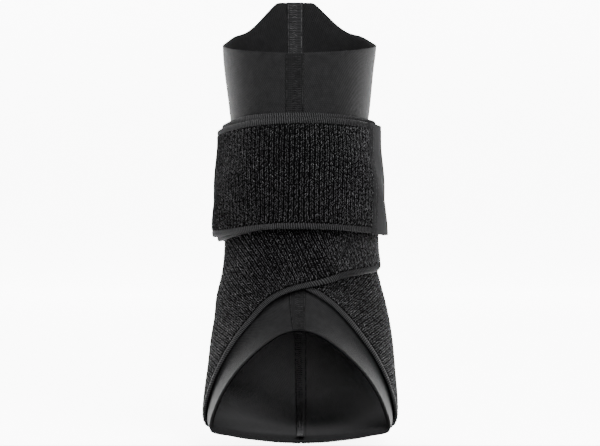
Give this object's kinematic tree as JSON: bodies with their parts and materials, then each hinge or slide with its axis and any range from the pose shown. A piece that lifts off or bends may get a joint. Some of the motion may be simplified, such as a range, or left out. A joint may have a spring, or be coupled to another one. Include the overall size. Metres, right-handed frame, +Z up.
{
  "type": "ankle brace with figure-of-eight strap",
  "caption": "Closed-heel neoprene ankle sleeve with a pull tab, wrapped by a wide ribbed elastic strap in a figure of eight that closes with a hook tab.",
  "frame": {"origin": "centre of the ankle joint, 75 mm above the sole of the sleeve", "axes": "+Z up the leg, -Y towards the toes, +X to the picture's right"},
  "size_m": [0.0994, 0.1264, 0.2328],
  "materials": {
    "jersey": "smooth nylon jersey on neoprene",
    "tape_jersey": "stitched knitted tape",
    "loop_pile": "ribbed loop pile on elastic",
    "whipping": "whipped yarn",
    "hook_nylon": "smooth nylon hook tape"
  },
  "bodies": {
    "root": {"sleeve_right": "jersey", "sleeve_left": "jersey", "front_seam": "tape_jersey", "back_seam": "tape_jersey", "strap_long": "loop_pile", "strap_short": "loop_pile", "strap_long_lower_edge": "whipping", "strap_short_lower_edge": "whipping", "strap_long_upper_edge": "whipping", "strap_short_upper_edge": "whipping", "hook_tab": "hook_nylon"}
  },
  "joints": []
}
